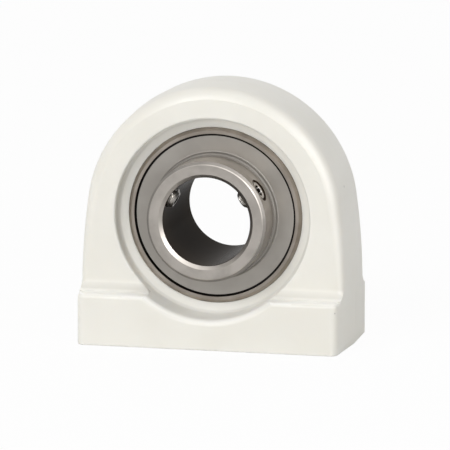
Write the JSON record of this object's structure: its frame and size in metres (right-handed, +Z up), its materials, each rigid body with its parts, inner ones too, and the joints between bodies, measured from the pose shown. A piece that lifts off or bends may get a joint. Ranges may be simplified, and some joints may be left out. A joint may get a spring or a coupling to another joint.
{
  "type": "pillow block bearing",
  "caption": "Tapped-base pillow block: a white moulded plastic housing round a self-aligning steel ball bearing with a set-screw collar, sealed both sides.",
  "frame": {"origin": "centre of the underside, straight below the centre of the balls", "axes": "+Y along the shaft, with the set-screw end towards -Y; +Z up; +X to the right seen from the set-screw end"},
  "size_m": [0.076, 0.0388, 0.0733],
  "materials": {
    "white_plastic": "satin, moulded",
    "insert_steel": "machined",
    "ring_steel": "fine ground",
    "flinger_steel": "satin pressed sheet",
    "cage_steel": "pressed sheet",
    "seal_rubber": "matte black, moulded on to the plates",
    "screw_steel": "machined thread",
    "ball_steel": "polished"
  },
  "bodies": {
    "housing": {"housing": "white_plastic", "threaded_insert_left": "insert_steel", "threaded_insert_right": "insert_steel"},
    "outer_ring": {"outer_ring": "ring_steel", "seal_plate_front": "seal_rubber", "seal_plate_rear": "seal_rubber", "seal_lip_front": "seal_rubber", "seal_lip_rear": "seal_rubber"},
    "inner_ring": {"inner_ring": "ring_steel", "flinger_front": "flinger_steel", "flinger_rear": "flinger_steel"},
    "cage": {"cage_front": "cage_steel", "cage_rear": "cage_steel", "cage_rivets": "cage_steel"},
    "set_screw_left": {"set_screw_left": "screw_steel"},
    "set_screw_right": {"set_screw_right": "screw_steel"},
    "ball_1": {"ball_1": "ball_steel"},
    "ball_2": {"ball_2": "ball_steel"},
    "ball_3": {"ball_3": "ball_steel"},
    "ball_4": {"ball_4": "ball_steel"},
    "ball_5": {"ball_5": "ball_steel"},
    "ball_6": {"ball_6": "ball_steel"},
    "ball_7": {"ball_7": "ball_steel"},
    "ball_8": {"ball_8": "ball_steel"},
    "ball_9": {"ball_9": "ball_steel"}
  },
  "joints": [
    {"name": "self_alignment", "type": "hinge", "parent": "housing", "child": "outer_ring", "pos_m": [0, 0, 0.0365], "axis": [0, 0, 1], "range_deg": [-2, 2]},
    {"name": "inner_ring_spin", "type": "hinge", "parent": "outer_ring", "child": "inner_ring", "pos_m": [0, 0, 0.0365], "axis": [0, 1, 0], "continuous": true},
    {"name": "cage_orbit", "type": "hinge", "parent": "outer_ring", "child": "cage", "pos_m": [0, 0, 0.0365], "axis": [0, 1, 0], "continuous": true},
    {"name": "ball_1_spin", "type": "hinge", "parent": "cage", "child": "ball_1", "pos_m": [0, 0, 0.056], "axis": [0, 1, 0], "continuous": true},
    {"name": "ball_2_spin", "type": "hinge", "parent": "cage", "child": "ball_2", "pos_m": [-0.01253, 0, 0.05144], "axis": [0, 1, 0], "continuous": true},
    {"name": "ball_3_spin", "type": "hinge", "parent": "cage", "child": "ball_3", "pos_m": [-0.0192, 0, 0.03989], "axis": [0, 1, 0], "continuous": true},
    {"name": "ball_4_spin", "type": "hinge", "parent": "cage", "child": "ball_4", "pos_m": [-0.01689, 0, 0.02675], "axis": [0, 1, 0], "continuous": true},
    {"name": "ball_5_spin", "type": "hinge", "parent": "cage", "child": "ball_5", "pos_m": [-0.00667, 0, 0.01818], "axis": [0, 1, 0], "continuous": true},
    {"name": "ball_6_spin", "type": "hinge", "parent": "cage", "child": "ball_6", "pos_m": [0.00667, 0, 0.01818], "axis": [0, 1, 0], "continuous": true},
    {"name": "ball_7_spin", "type": "hinge", "parent": "cage", "child": "ball_7", "pos_m": [0.01689, 0, 0.02675], "axis": [0, 1, 0], "continuous": true},
    {"name": "ball_8_spin", "type": "hinge", "parent": "cage", "child": "ball_8", "pos_m": [0.0192, 0, 0.03989], "axis": [0, 1, 0], "continuous": true},
    {"name": "ball_9_spin", "type": "hinge", "parent": "cage", "child": "ball_9", "pos_m": [0.01253, 0, 0.05144], "axis": [0, 1, 0], "continuous": true},
    {"name": "set_screw_right_travel", "type": "slide", "parent": "inner_ring", "child": "set_screw_right", "axis": [-0.848, 0, -0.5299], "range_m": [-0.0015, 0.0018]},
    {"name": "set_screw_left_travel", "type": "slide", "parent": "inner_ring", "child": "set_screw_left", "axis": [0.8829, 0, -0.4695], "range_m": [-0.0015, 0.0018]}
  ],
  "couplings": [
    {"joint": "cage_orbit", "follows": "inner_ring_spin", "ratio": 0.39823},
    {"joint": "ball_1_spin", "follows": "inner_ring_spin", "ratio": -2.3548},
    {"joint": "ball_2_spin", "follows": "inner_ring_spin", "ratio": -2.3548},
    {"joint": "ball_3_spin", "follows": "inner_ring_spin", "ratio": -2.3548},
    {"joint": "ball_4_spin", "follows": "inner_ring_spin", "ratio": -2.3548},
    {"joint": "ball_5_spin", "follows": "inner_ring_spin", "ratio": -2.3548},
    {"joint": "ball_6_spin", "follows": "inner_ring_spin", "ratio": -2.3548},
    {"joint": "ball_7_spin", "follows": "inner_ring_spin", "ratio": -2.3548},
    {"joint": "ball_8_spin", "follows": "inner_ring_spin", "ratio": -2.3548},
    {"joint": "ball_9_spin", "follows": "inner_ring_spin", "ratio": -2.3548}
  ]
}
